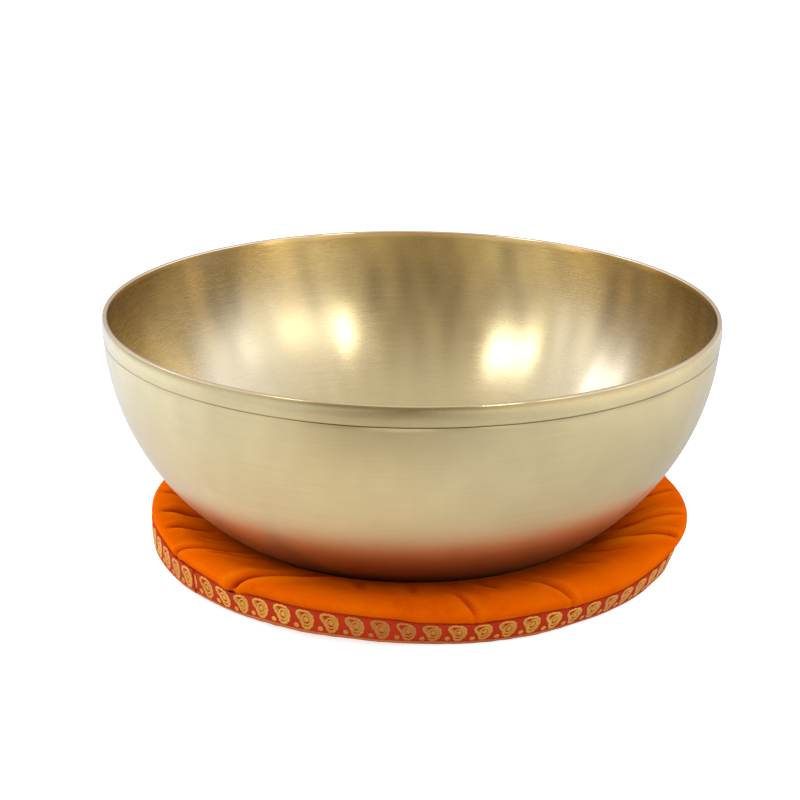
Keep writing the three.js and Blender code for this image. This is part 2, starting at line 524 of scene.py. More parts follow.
# How the ribbon hangs round the cushion: at each angle, how far its lower edge is tucked in
# under it, how far that edge sags, and how far the velvet bulges out above it, in millimetres.
HEM = [
    (0, 4.2, 4.0, 5.8),
    (20, 3.8, 2.6, 5.2),
    (50, 2.6, 0.8, 2.2),
    (100, 2.4, 0.5, 1.6),
    (150, 2.4, 0.5, 1.4),
    (185, 1.0, 0.2, 0.6),
    (200, 0.4, 0.2, 0.2),
    (208, 1.2, 1.4, 0.4),
    (218, 2.0, 1.3, 0.6),
    (228, 4.4, 1.8, 0.8),
    (239, 1.0, 0.9, 1.2),
    (248, 1.2, 1.0, 1.4),
    (256, 2.8, 0.7, 1.4),
    (264, 2.9, 1.1, 1.4),
    (272, 5.8, 1.7, 1.5),
    (283, 6.2, 2.5, 1.6),
    (296, 5.0, 2.6, 1.8),
    (308, 7.0, 2.5, 2.2),
    (318, 6.9, 3.1, 2.8),
    (331, 5.4, 3.2, 3.6),
    (346, 4.4, 4.0, 6.0),
]


def hem(angles):
    """Tuck, sag and bulge at each angle, in metres."""
    table = np.array(HEM)
    at = table[:, 0]
    index = np.searchsorted(at, np.mod(angles, 360), side="right") - 1
    before, after = table[index], table[(index + 1) % len(at)]
    span = np.mod(after[..., 0] - before[..., 0], 360)
    share = smooth_step((np.mod(angles, 360) - before[..., 0]) / span)[..., None]
    mixed = before + (after - before) * share
    return [mixed[..., i] * MM for i in (1, 2, 3)]


def ribbon_rise(angles):
    """Height of the leaning ribbon's upper edge over its lower one."""
    return np.sqrt(RIBBON_HEIGHT**2 - hem(angles)[0] ** 2)


def skin_line():
    """The flat cushion's (radius, height) from its axis to the ribbon's upper edge."""
    wall = outer_wall(RIM_Z - LINE_DROP, 900)
    dent = np.concatenate([[[0.5 * MM, BOWL_BASE_Z], [20 * MM, BOWL_BASE_Z]], wall])
    dent = even_steps(dent[dent[:, 0] < DENT_RADIUS], DENT_RINGS)
    dent = dent + GAP * right_of(dent)
    edge = dent[-1]
    shoulder = np.array([SIDE_RADIUS - SHOULDER_WIDTH, SHOULDER_HEIGHT])
    crest = bezier(
        [edge, edge + [8 * MM, 3.6 * MM], shoulder + [-12 * MM, 0.4 * MM], shoulder], 200
    )
    roll = bezier(
        [
            shoulder,
            shoulder + [9.0 * MM, -0.3 * MM],
            (SIDE_RADIUS + 7.0 * MM, SEAM_TOP + 4.2 * MM),
            (SIDE_RADIUS - 0.8 * MM, SEAM_TOP - 0.1 * MM),
        ],
        200,
    )
    crest = even_steps(crest, CREST_RINGS)[1:]
    return np.concatenate([dent, crest, even_steps(roll, ROLL_RINGS)[1:]])


def seam_drop(angles):
    """How far the ribbon's upper edge lies under the height of a plain, upright one."""
    _, sag, _ = hem(angles)
    total = np.zeros_like(angles)
    for seam, out_radius, _, _, depth, _, width in FOLDS:
        if out_radius > SEAM_RADIUS:
            across = np.radians(angle_between(angles, seam)) * PAD_RADIUS / MM
            total += 0.22 * depth * bell(across / (1.8 * abs(width)))
    return total * MM + sag + RIBBON_HEIGHT - ribbon_rise(angles)


def velvet_lift(radius, angles):
    """Folds and the loose filling's lumps, as a height over the plain skin."""
    lumps = waves(angles, 21, range(5, 17), 0.4) * 0.5 * MM
    by_bowl = bell((radius - 99 * MM) / (9 * MM))
    lumps = lumps + waves(angles, 22, range(20, 60, 3), 0.3) * 0.35 * MM * by_bowl
    by_seam = bell((radius - SHOULDER_REACH - ROLL_LENGTH) / (9 * MM))
    lumps = lumps + waves(angles, 23, range(50, 150, 7), 0.2) * 0.22 * MM * by_seam
    return fold_height(radius, angles) + lumps


def skin_points(angles, sunk=0.0):
    """The velvet's surface for each ring and angle, moved in by sunk along its normal, and the
    height of its folds there."""
    line = skin_line()
    rings = len(line)
    normal = -right_of(line)
    turn = angles[None]
    radius = line[:, :1] + 0 * turn
    height = line[:, 1:] + 0 * turn
    on_roll = np.clip((np.arange(rings) - (rings - ROLL_RINGS - 1)) / ROLL_RINGS, 0, 1)[:, None]
    free = smooth_step((line[:, :1] - DENT_RADIUS - 0.5 * MM) / (11 * MM))
    free = free * (1 - 0.6 * smooth_step((on_roll - 0.55) / 0.45))
    reach = np.where(on_roll > 0, SHOULDER_REACH + ROLL_LENGTH * on_roll, radius)
    lift = velvet_lift(reach, turn)
    swell = np.sin(math.pi * on_roll**1.3) ** 1.2
    outward = (hem(turn)[2] - 1.4 * MM) * swell
    radius = radius + normal[:, :1] * (lift * free - sunk) + outward
    height = height + normal[:, 1:] * (lift * free - sunk)
    height = height - seam_drop(turn) * smooth_step(on_roll)
    return settle(radius, turn, height), lift * free


def shell_mesh(name, outer, inner):
    """A closed shell between two stacks of rings that start near the axis and end at the edge."""
    facets = outer.shape[1]
    grid = np.concatenate([outer, inner[::-1]])
    vertices = grid.reshape(-1, 3).tolist()
    vertices += [outer[0].mean(0).tolist(), inner[0].mean(0).tolist()]
    faces = ring_faces(len(grid), facets) + pole_faces(len(grid), facets)
    return mesh_from(name, vertices, [f[::-1] for f in faces])


def thinned(points, step):
    """Every step-th ring, with the last one kept."""
    return np.concatenate([points[:-1][::step], points[-1:]])


pad_angles = np.arange(PAD_FACETS) * 360 / PAD_FACETS


def make_velvet():
    outer, lift = skin_points(pad_angles)
    inner, _ = skin_points(pad_angles, COVER_THICKNESS)
    mesh = shell_mesh("velvet", outer, thinned(inner, LINING_STEP))
    middle = np.array([*PAD_CENTRE, 0])
    reach = np.hypot(*(outer - middle)[..., :2].reshape(-1, 2).T)
    spare = len(mesh.vertices) - lift.size
    add_float_attribute(mesh, "lift", np.append(lift.ravel() / MM, np.zeros(spare)))
    add_float_attribute(mesh, "reach", np.append(reach / MM, np.zeros(spare)))
    return new_object("velvet_cover", mesh)


def lowest_nearby(values, reach):
    """Each column's lowest value among the columns up to reach away on either side."""
    return np.min([np.roll(values, k, 1) for k in range(-reach, reach + 1)], 0)


def make_wadding():
    """The loose filling: it follows the cover but can't press up into its narrow folds."""
    points, _ = skin_points(pad_angles, COVER_THICKNESS + 2 * GAP)
    flat = points[..., :2] - PAD_CENTRE
    out = lowest_nearby(np.hypot(*np.moveaxis(flat, -1, 0)), 5)
    turn = np.arctan2(flat[..., 1], flat[..., 0])
    height = lowest_nearby(points[..., 2], 5)
    x = PAD_CENTRE[0] + out * np.cos(turn)
    y = PAD_CENTRE[1] + out * np.sin(turn)
    top = thinned(np.stack([x, y, height], -1)[:, ::4], 2)
    angles = pad_angles[::4]
    inset = SIDE_RADIUS - 4 * MM - hem(angles)[0][None]
    radius = inset * np.linspace(0.004, 1, len(top))[:, None]
    bottom = settle(radius, angles[None], BASE_THICKNESS + 2 * GAP + 0 * radius)
    return new_object("wadding", shell_mesh("wadding", top, bottom))


def make_base():
    rings = 50
    angles = pad_angles[::2]
    tuck, sag, _ = hem(angles)
    edge = SIDE_RADIUS - 0.4 * MM - tuck[None]
    radius = edge * np.linspace(0.004, 1, rings)[:, None] ** 0.8
    pucker = waves(angles, 33, range(30, 120, 7), 0.3)[None] * 0.3 * MM
    near_edge = smooth_step((radius / edge - 0.86) / 0.14)
    lift = (pucker - sag[None]) * near_edge
    outer = settle(radius, angles[None], lift)
    outer[..., 2] = np.maximum(outer[..., 2], 0)
    inner = settle(radius, angles[None], lift + BASE_THICKNESS)
    return new_object("base_cloth", shell_mesh("base_cloth", inner, outer))


# ---------------------------------------------------------------- ribbon

RIBBON_THICKNESS = 0.45 * MM
RIBBON_BULGE = 0.4 * MM
RIBBON_RIPPLE = 0.18 * MM
FOOT_WAVE = 0.3 * MM
# How far the ribbon's upper edge is drawn in, and how far its outer end lies over the inner one.
TOP_ROLL = 0.9 * MM
JOIN_STEP = 0.85 * MM
JOIN_ANGLE = 213.6
OVERLAP = 9 * MM
RIBBON_LENGTH = TAU * PAD_RADIUS + OVERLAP
SELVEDGE_HEIGHT = 1.0 * MM
MOTIF_PITCH = 11.94 * MM
# The gold thread is painted duller round this angle, in degrees: painted shade where its satin
# floats show no glint.
GOLD_SHADE_ANGLE = 264
GOLD_SHADE_WIDTH = 16
RIBBON_STEPS = 760
RIBBON_ROWS = 14


def ribbon_point(length, up, proud):
    """A point on the ribbon: length along it from its hidden end, up from its lower edge, and
    proud of its face. Works on arrays."""
    length, up, proud = np.broadcast_arrays(length, up, proud)
    angle = JOIN_ANGLE + np.degrees(length / PAD_RADIUS)
    share = up / RIBBON_HEIGHT
    over = smooth_step((length - TAU * PAD_RADIUS + OVERLAP) / (8 * MM)) * JOIN_STEP
    bulge = RIBBON_BULGE * np.sin(math.pi * np.clip(share, 0, 1))
    ripple = waves(angle, 41, range(18, 50, 4), 0.3) * RIBBON_RIPPLE
    tuck, sag, _ = hem(angle)
    radius = PAD_RADIUS - RIBBON_THICKNESS + over + proud + bulge + ripple
    radius = radius - tuck * (1 - share) - TOP_ROLL * smooth_step((share - 0.87) / 0.13)
    wave = waves(angle, 42, (7, 11, 17, 23), 0.4) * FOOT_WAVE
    foot = RIBBON_BOTTOM - sag + wave * (1 - share)
    height = foot + (RIBBON_BOTTOM + RIBBON_HEIGHT - seam_drop(angle) - foot) * share
    return settle(radius, angle, height)


def strip(name, up, proud):
    """A closed strip all along the ribbon whose section is the loop of up and proud."""
    length = np.linspace(0, RIBBON_LENGTH, RIBBON_STEPS)
    section = ribbon_point(length[:, None], up[None], proud[None])
    mesh = mesh_from(name, section.reshape(-1, 3), tube_faces(RIBBON_STEPS, len(up)))
    add_float_attribute(mesh, "run", np.repeat(length, len(up)))
    add_float_attribute(mesh, "up", np.tile(up, RIBBON_STEPS))
    return new_object(name, mesh)


def make_ribbon():
    up = np.linspace(0, RIBBON_HEIGHT, RIBBON_ROWS)
    proud = np.repeat([RIBBON_THICKNESS, 0], RIBBON_ROWS)
    return strip("brocade_band", np.append(up, up[::-1]), proud)


# Outline of one paisley, in millimetres from its middle: a round body leaning to a curled tip.
PAISLEY_X = [-4.5, -3.7, -2.0, 0.4, 2.8, 4.4, 4.8, 4.1, 2.4, 0.2, -1.3, -1.9, -2.9, -4.2]
PAISLEY_Y = [3.0, 4.3, 4.9, 4.9, 4.2, 2.4, 0.0, -2.5, -4.4, -4.8, -3.8, -2.1, -0.3, 1.4]
PAISLEY_HEART = (0.9, 0.2)


def closed_curve(points, steps):
    """A smooth closed line through points, with steps points between each pair."""
    t = (np.arange(steps) / steps)[:, None]
    out = []
    for i in range(len(points)):
        a, b, c, d = (points[(i + k) % len(points)] for k in (-1, 0, 1, 2))
        square = (2 * a - 5 * b + 4 * c - d) * t**2
        out.append(b + 0.5 * ((c - a) * t + square + (3 * b - a - 3 * c + d) * t**3))
    return np.concatenate(out)


def shrunk(outline, distance):
    """A closed outline moved in by distance all round."""
    along = np.roll(outline, -1, 0) - np.roll(outline, 1, 0)
    return outline + distance * right_turned(along)


def scalloped(outline, size, count):
    """The outline with a row of small outward scallops."""
    share = np.linspace(0, 1, len(outline), endpoint=False)
    return shrunk(outline, -size * np.abs(np.sin(math.pi * count * share))[:, None])


def oval(middle, across, high):
    """A closed outline in the same sense as the paisley's, from its middle and half sizes."""
    turn = np.linspace(0, -TAU, 20, endpoint=False)
    return np.stack([middle[0] + across * np.cos(turn), middle[1] + high * np.sin(turn)], 1)


def motif_parts():
    """One motif as raised forms: each a list of (outline, proud) loops in millimetres, whether
    its middle is filled, and whether it is in the light or the dark thread."""
    body = closed_curve(np.stack([PAISLEY_X, PAISLEY_Y], 1), 4)
    dot = oval((-4.2, -3.3), 1.3, 1.2)
    rim = scalloped(shrunk(body, 0.3), 0.36, 13)
    ground = [(shrunk(body, 0.3), 0.0), (shrunk(body, 0.4), 0.1)]
    band = [
        (rim, 0.0),
        (shrunk(rim, 0.08), 0.22),
        (shrunk(body, 0.6), 0.3),
        (shrunk(body, 1.2), 0.24),
        (shrunk(body, 1.3), 0.0),
    ]
    ring = [
        (oval(PAISLEY_HEART, 2.6, 2.9), 0.0),
        (oval(PAISLEY_HEART, 2.5, 2.8), 0.2),
        (oval(PAISLEY_HEART, 1.9, 2.15), 0.24),
        (oval(PAISLEY_HEART, 1.8, 2.05), 0.0),
    ]
    middle = [(oval(PAISLEY_HEART, 1.0, 1.2), 0.0), (oval(PAISLEY_HEART, 0.85, 1.05), 0.22)]
    spot = [(dot, 0.0), (shrunk(dot, 0.08), 0.2), (shrunk(dot, 0.5), 0.28)]
    return [
        (ground, True, "dark"),
        (band, False, "light"),
        (ring, False, "light"),
        (middle, True, "light"),
        (spot, True, "light"),
    ]


def make_motifs(name, thread):
    """Every motif's forms in one thread, all round the ribbon."""
    middle = SELVEDGE_HEIGHT + (RIBBON_HEIGHT - SELVEDGE_HEIGHT) / 2 - 0.2 * MM
    parts = [p[:2] for p in motif_parts() if p[2] == thread]
    vertices, faces, tone, gold_shade = [], [], [], []
    draw = np.random.default_rng(7)
    for m in range(int(RIBBON_LENGTH / MOTIF_PITCH)):
        start = RIBBON_LENGTH - (m + 0.5) * MOTIF_PITCH
        slip = draw.normal(0, 0.08, 2)
        shade = draw.uniform(0, 1)
        angle = JOIN_ANGLE + math.degrees(start / PAD_RADIUS)
        # Painted shade: how much the gold is dulled at this motif's angle.
        gold_shade_here = float(lobe(angle, GOLD_SHADE_ANGLE, GOLD_SHADE_WIDTH))
        if start < 2 * MM:
            continue

        def placed(points, proud):
            x = start + (points[:, 0] + slip[0]) * MM
            y = middle + (points[:, 1] + slip[1]) * MM
            return ribbon_point(x, y, RIBBON_THICKNESS + (proud - 0.04) * MM).tolist()

        for loops, filled in parts:
            base = len(vertices)
            size = len(loops[0][0])
            for outline, proud in loops:
                vertices += placed(outline, proud)
            faces += ring_faces(len(loops), size, base)
            top = base + (len(loops) - 1) * size
            if filled:
                centre = len(vertices)
                vertices += placed(loops[-1][0].mean(0)[None], loops[-1][1])
                faces += [(top + j, top + (j + 1) % size, centre) for j in range(size)]
            tone += [shade] * (len(vertices) - base)
            gold_shade += [gold_shade_here] * (len(vertices) - base)
    mesh = mesh_from(name, vertices, faces)
    add_float_attribute(mesh, "tone", tone)
    add_float_attribute(mesh, "gold_shade", gold_shade)
    return new_object(name, mesh)


def make_selvedge():
    """The satin lower edge of the ribbon, a thin rounded band."""
    up = np.array([0.0, -0.15, 0.05, 0.45, 0.8, 0.95, 1.0]) * SELVEDGE_HEIGHT
    proud = np.array([0.012, 0.15, 0.3, 0.336, 0.3, 0.18, 0.012]) * MM
    return strip("brocade_selvedge", up, RIBBON_THICKNESS - 0.06 * MM + proud)


# ---------------------------------------------------------------- stitches

STITCH_LENGTH = 2.3 * MM
STITCH_GAP = 0.7 * MM
STITCH_RADIUS = 0.17 * MM


def make_stitches(name, up, proud):
    """A row of lock stitches: short rounded threads that dip into the cloth at both ends."""
    total = TAU * PAD_RADIUS
    count = int(total / (STITCH_LENGTH + STITCH_GAP))
    pitch = total / count
    sides, steps = 8, 7
    turn = np.linspace(0, TAU, sides, endpoint=False)
    share = np.linspace(0, 1, steps)
    width = STITCH_RADIUS * np.sqrt(np.clip(1 - (2 * share - 1) ** 4, 0.06, 1))
    arch = proud + STITCH_RADIUS * (np.sin(math.pi * share) - 0.35)
    vertices, faces = [], []
    draw = np.random.default_rng(3)
    for k in range(count):
        start = (k + 0.2) * pitch
        tilt = draw.normal(0, 0.06) * MM
        length = start + share[:, None] * STITCH_LENGTH + 0 * turn[None]
        rise = up + tilt * (2 * share[:, None] - 1) + width[:, None] * np.cos(turn)[None]
        out = arch[:, None] + width[:, None] * np.sin(turn)[None]
        base = len(vertices)
        vertices += ribbon_point(length, rise, out).reshape(-1, 3).tolist()
        faces += tube_faces(steps, sides, base)
    return new_object(name, mesh_from(name, vertices, faces))


# ---------------------------------------------------------------- materials


class Nodes:
    """Shorthand for building a material's node tree."""

    def __init__(self, name):
        self.material = bpy.data.materials.new(name)
        self.material.use_nodes = True
        self.tree = self.material.node_tree
        self.tree.nodes.clear()
        self.out = self.add("ShaderNodeOutputMaterial")
        self.shader = self.add("ShaderNodeBsdfPrincipled")
        self.tree.links.new(self.shader.outputs[0], self.out.inputs["Surface"])

    def add(self, kind, **settings):
        node = self.tree.nodes.new(kind)
        for key, value in settings.items():
            setattr(node, key, value)
        return node

    def set(self, node, socket, value):
        """Links value if it is an output socket, and stores it otherwise."""
        target = node.inputs[socket]
        if isinstance(value, bpy.types.NodeSocket):
            self.tree.links.new(value, target)
        else:
            target.default_value = value

    def math(self, kind, a, b=0.0, c=0.0):
        node = self.add("ShaderNodeMath", operation=kind)
        for i, value in enumerate((a, b, c)):
            self.set(node, i, value)
        return node.outputs[0]

    def times(self, a, b):
        return self.math("MULTIPLY", a, b)

    def attribute(self, name):
        return self.add("ShaderNodeAttribute", attribute_name=name).outputs["Fac"]

    def place(self):
        return self.add("ShaderNodeTexCoord").outputs["Object"]

    def vector(self, x, y, z):
        node = self.add("ShaderNodeCombineXYZ")
        for i, value in enumerate((x, y, z)):
            self.set(node, i, value)
        return node.outputs[0]

    def noise(self, vector, scale, detail=2.0, rough=0.5):
        node = self.add("ShaderNodeTexNoise")
        self.set(node, "Vector", vector)
        self.set(node, "Scale", scale)
        self.set(node, "Detail", detail)
        self.set(node, "Roughness", rough)
        return node.outputs["Fac"]

    def ramp(self, factor, stops):
        node = self.add("ShaderNodeValToRGB")
        self.set(node, "Fac", factor)
        while len(node.color_ramp.elements) < len(stops):
            node.color_ramp.elements.new(0.5)
        for element, (at, colour) in zip(node.color_ramp.elements, stops):
            element.position = at
            element.color = colour if len(colour) == 4 else (*colour, 1)
        return node.outputs["Color"]

    def mix(self, factor, a, b, blend="MIX"):
        node = self.add("ShaderNodeMix", data_type="RGBA", blend_type=blend)
        self.set(node, 0, factor)
        self.set(node, 6, a)
        self.set(node, 7, b)
        return node.outputs[2]

    def bump(self, height, distance, strength):
        node = self.add("ShaderNodeBump")
        self.set(node, "Height", height)
        self.set(node, "Distance", distance)
        self.set(node, "Strength", strength)
        return node.outputs[0]

    def axes(self, vector):
        node = self.add("ShaderNodeSeparateXYZ")
        self.set(node, 0, vector)
        return node.outputs

    def smooth(self, value, low, high=1.0, start=0.0, end=1.0):
        """Runs smoothly from start to end as value goes from low to high."""
        node = self.add("ShaderNodeMapRange", interpolation_type="SMOOTHSTEP")
        for i, given in enumerate((value, low, high, start, end)):
            self.set(node, i, given)
        return node.outputs[0]

    def bell(self, squared, scale=-1.0):
        """A bell curve of a distance that is given squared."""
        return self.math("POWER", math.e, self.times(squared, scale))

    def sine(self, value, wavelength):
        return self.math("SINE", self.times(value, TAU / wavelength))

    def surface(self, colour, normal, fixed):
        """Sets the shader's colour, normal and fixed values, and returns the material."""
        self.set(self.shader, "Base Color", colour)
        self.set(self.shader, "Normal", normal)
        for socket, value in fixed.items():
            self.set(self.shader, socket, value)
        return self.material


def around_vector(n, turns, lengthwise):
    """A texture vector that repeats nothing round the axis: the direction from the axis times
    turns, and the length along the profile times lengthwise."""
    x, y, _ = n.axes(n.place())
    radius = n.math("SQRT", n.math("ADD", n.times(x, x), n.times(y, y)))
    radius = n.math("MAXIMUM", radius, 0.002)
    return n.vector(
        n.times(n.math("DIVIDE", x, radius), turns),
        n.times(n.math("DIVIDE", y, radius), turns),
        n.times(n.attribute("along"), lengthwise),
    )


# The colours that the bronze takes where each attribute of the bowl is high. The warm streaks
# inside are painted highlights, and the darker sides inside and the darker foot outside are painted
# shade; the rim and the incised line keep the metal's own colours.
BRONZE_TINTS = {
    "painted_gleam": (1.0, 0.80, 0.42, 1),
    "side_shade": (0.32, 0.26, 0.14, 1),
    "foot": (0.48, 0.30, 0.10, 1),
    "rim": (1.0, 0.80, 0.50, 1),
    "line": (0.12, 0.065, 0.02, 1),
}
CLOUD_TINT = (0.70, 0.61, 0.35, 1)
STREAK_SHADE = 0.1131


def bronze_material(name, low, high, rough, polish, anisotropy, lines):
    """Bronze brushed round its axis, with the incised line tarnished. The colour runs from low
    at the floor to high at the rim, and the roughness falls by polish at the rim."""
    n = Nodes(name)
    height = n.attribute("height")
    colour = n.mix(n.smooth(height, 0.35), low, high)
    patches = n.noise(n.place(), 20.0, 4.0, 0.6)
    streaks = n.noise(around_vector(n, 5.0, 900.0), 1.0, 4.0, 0.6)
    clouds = n.noise(n.place(), 11.0, 3.0, 0.5)
    colour = n.mix(n.times(clouds, 0.5), colour, CLOUD_TINT)
    shade = n.math("MULTIPLY_ADD", streaks, 0.16, n.math("MULTIPLY_ADD", patches, 0.30, 0.78))
    shade = n.math("MULTIPLY_ADD", n.attribute("mottle"), STREAK_SHADE, shade)
    grey = n.add("ShaderNodeCombineColor")
    for i in range(3):
        n.set(grey, i, shade)
    colour = n.mix(1.0, colour, grey.outputs[0], "MULTIPLY")
    for attribute, tint in BRONZE_TINTS.items():
        colour = n.mix(n.attribute(attribute), colour, tint)
    rough = n.math("MULTIPLY_ADD", n.smooth(height, 0.93), -polish, rough - 0.05)
    n.set(n.shader, "Roughness", n.math("MULTIPLY_ADD", streaks, 0.10, rough))
    tangent = n.add("ShaderNodeTangent", direction_type="RADIAL", axis="Z")
    n.set(n.shader, "Tangent", tangent.outputs[0])
    brush = n.bump(n.noise(around_vector(n, 3.0, 2600.0), 1.0, 3.0, 0.7), 0.00002, lines)
    fixed = {"Metallic": 1.0, "Anisotropic": anisotropy, "Anisotropic Rotation": 0.25}
    return n.surface(colour, brush, fixed)


def velvet_material():
    """Cotton velvet with a deep pile, its colour painted darker in the folds' valleys and paler on
    their ridges: painted shade and painted highlight.
    """
    n = Nodes("orange_velvet")
    place = n.place()
    broad = n.noise(place, 70.0, 3.0, 0.6)
    # Painted shade in the folds' valleys and painted highlight on their ridges, from the folds'
    # height; the broad noise adds random tone.
    lift = n.math("MULTIPLY_ADD", n.attribute("lift"), 0.15, 0.36)
    level = n.math("MULTIPLY_ADD", broad, 0.32, lift)
    colour = n.ramp(
        level,
        [
            (0.0, (0.18, 0.006, 0.0)),
            (0.25, (0.52, 0.044, 0.0)),
            (0.5, (0.93, 0.140, 0.0)),
            (0.85, (1.0, 0.222, 0.002)),
        ],
    )
    reach = n.attribute("reach")
    # Painted shadow: the velvet is darkened towards the ring where the bowl rests on it, and inside
    # that ring it is painted half dark.
    clear_of_painted_shadow = n.math("MAXIMUM", n.smooth(reach, 90, 130), n.smooth(reach, 98, 60, 0.0, 0.5))
    colour = n.mix(clear_of_painted_shadow, (0.08, 0.002, 0.0, 1), colour)
    fine = n.noise(place, 750.0, 3.0, 0.7)
    colour = n.mix(n.times(fine, 0.25), colour, (0.45, 0.03, 0.0, 1))
    nap = n.bump(n.noise(place, 900.0, 3.0, 0.7), 0.00035, 0.45)
    fixed = {
        "Roughness": 0.95,
        "Specular IOR Level": 0.0,
        "Sheen Weight": 0.4,
        "Sheen Roughness": 0.4,
        "Sheen Tint": (1.0, 0.18, 0.004, 1),
    }
    return n.surface(colour, nap, fixed)


def weave(n, across, along, pitch_across, pitch_along):
    """Height of a plain weave of two directions, from 0 to 1."""
    both = n.times(n.sine(across, pitch_across), n.sine(along, pitch_along))
    return n.math("MULTIPLY_ADD", both, 0.5, 0.5)


def brocade_material():
    n = Nodes("red_brocade")
    height = weave(n, n.attribute("run"), n.attribute("up"), 0.0007, 0.0005)
    patches = n.noise(n.place(), 60.0, 2.0)
    # Painted shade: the red is darker in the weave's hollows and lighter on its crowns.
    colour = n.ramp(height, [(0.1, (0.40, 0.016, 0.004)), (0.8, (0.68, 0.045, 0.012))])
    colour = n.mix(n.times(patches, 0.35), colour, (0.70, 0.07, 0.008, 1))
    fixed = {"Roughness": 0.7, "Specular IOR Level": 0.1}
    return n.surface(colour, n.bump(height, 0.00012, 0.6), fixed)


def gold_material(name, low, high):
    """Metallised thread laid in short satin floats."""
    n = Nodes(name)
    floats = n.noise(n.place(), 1400.0, 2.0, 0.6)
    level = n.math("MULTIPLY_ADD", n.attribute("tone"), 0.25, floats)
    shine = n.ramp(level, [(0.35, high), (0.85, low)])
    # Painted shade: the gold is dulled towards brown round one angle of the ribbon.
    colour = n.mix(n.times(n.attribute("gold_shade"), 0.8), shine, (0.50, 0.19, 0.035, 1))
    return n.surface(colour, n.bump(floats, 0.00018, 0.8), {"Metallic": 0.65, "Roughness": 0.42})


def selvedge_material():
    n = Nodes("orange_selvedge")
    rib = n.math("MULTIPLY_ADD", n.sine(n.attribute("run"), 0.0006), 0.5, 0.5)
    # Painted shade: the satin is darker in the hollows between the ribs.
    colour = n.ramp(rib, [(0.1, (0.50, 0.12, 0.012)), (0.8, (0.78, 0.25, 0.04))])
    return n.surface(colour, n.bump(rib, 0.0001, 0.6), {"Roughness": 0.4})


def cloth_material(name, dark, light, pitch):
    """Plain woven cotton whose threads run along X and Y."""
    n = Nodes(name)
    x, y, _ = n.axes(n.place())
    slub = n.noise(n.place(), 200.0, 3.0)
    height = n.math("MULTIPLY_ADD", slub, 0.4, weave(n, x, y, pitch, pitch))
    # Painted shade: the cloth is darker in the weave's hollows; the slubs add random tone.
    colour = n.ramp(height, [(0.2, dark), (1.0, light)])
    return n.surface(colour, n.bump(height, 0.00015, 0.6), {"Roughness": 0.9})


def thread_material(name, dark, light):
    n = Nodes(name)
    twist = n.noise(n.place(), 2500.0, 2.0)
    colour = n.ramp(twist, [(0.3, dark), (0.7, light)])
    return n.surface(colour, n.bump(twist, 0.0001, 0.6), {"Roughness": 0.6})


def dress(piece, body, nodes, slot, *materials):
    """Gives a piece its materials and its body, and hides the CAD nodes it stands for. The slot is
    not used.
    """
    for material in materials:
        piece.data.materials.append(material)
    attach(piece, body)
    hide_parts(*nodes)
    return piece


# ---------------------------------------------------------------- pieces

outside_bronze = bronze_material(
    "brushed_bronze_outside", (0.80, 0.62, 0.30, 1), (0.78, 0.61, 0.30, 1), 0.31, 0.14, 0.75, 0.35
)
# The inside is coloured darker towards the rim: painted shade for the upper wall's darker
# reflections.
inside_bronze = bronze_material(
    "brushed_bronze_inside", (0.84, 0.69, 0.42, 1), (0.67, 0.53, 0.29, 1), 0.27, 0.0, 0.35, 0.05
)
dress(make_bowl(), "bowl", ["singing_bowl"], "bronze", outside_bronze, inside_bronze)
velvet = dress(make_velvet(), "cushion", ["cushion_top_cover"], "velvet", velvet_material())
wadding = dress(
    make_wadding(),
    "cushion",
    ["cushion_filling"],
    "padding",
    cloth_material("wadding", (0.70, 0.66, 0.58), (0.86, 0.83, 0.76), 0.0016),
)
dress(
    make_base(),
    "cushion",
    ["cushion_base_cover"],
    "base_cloth",
    cloth_material("base_cotton", (0.42, 0.10, 0.012), (0.66, 0.20, 0.03), 0.0008),
)
dress(make_ribbon(), "cushion", ["brocade_ribbon"], "brocade", brocade_material())
dress(
    make_motifs("brocade_paisleys", "light"),
    "cushion",
    ["brocade_ribbon"],
    "brocade",
    gold_material("gold_thread", (0.80, 0.34, 0.035), (1.0, 0.60, 0.09)),
)
dress(
    make_motifs("brocade_grounds", "dark"),
    "cushion",
    ["brocade_ribbon"],
    "brocade",
    gold_material("dark_thread", (0.52, 0.20, 0.018), (0.74, 0.34, 0.05)),
)
dress(make_selvedge(), "cushion", ["brocade_ribbon"], "brocade", selvedge_material())
dress(
    make_stitches("upper_stitches", RIBBON_HEIGHT - 0.7 * MM, RIBBON_THICKNESS),
    "cushion",
    ["upper_seam_thread"],
    "thread_red",
    thread_material("red_thread", (0.16, 0.012, 0.006), (0.34, 0.03, 0.012)),
)
dress(
    make_stitches("lower_stitches", 0.5 * MM, RIBBON_THICKNESS + 0.25 * MM),
    "cushion",
    ["lower_seam_thread"],
    "thread_orange",
    thread_material("orange_thread", (0.45, 0.12, 0.015), (0.75, 0.26, 0.05)),
)


# ---------------------------------------------------------------- floor, lights and camera

# The floor's side, wide enough that its edge never shows.
FLOOR_SIZE = 40.0
# Painted shade on the floor, which the bronze mirrors: x, y, radius and strength.
PAINTED_FLOOR_SHADES = [(-0.42, -0.34, 0.17, 0.5), (0.44, 0.24, 0.2, 0.4)]


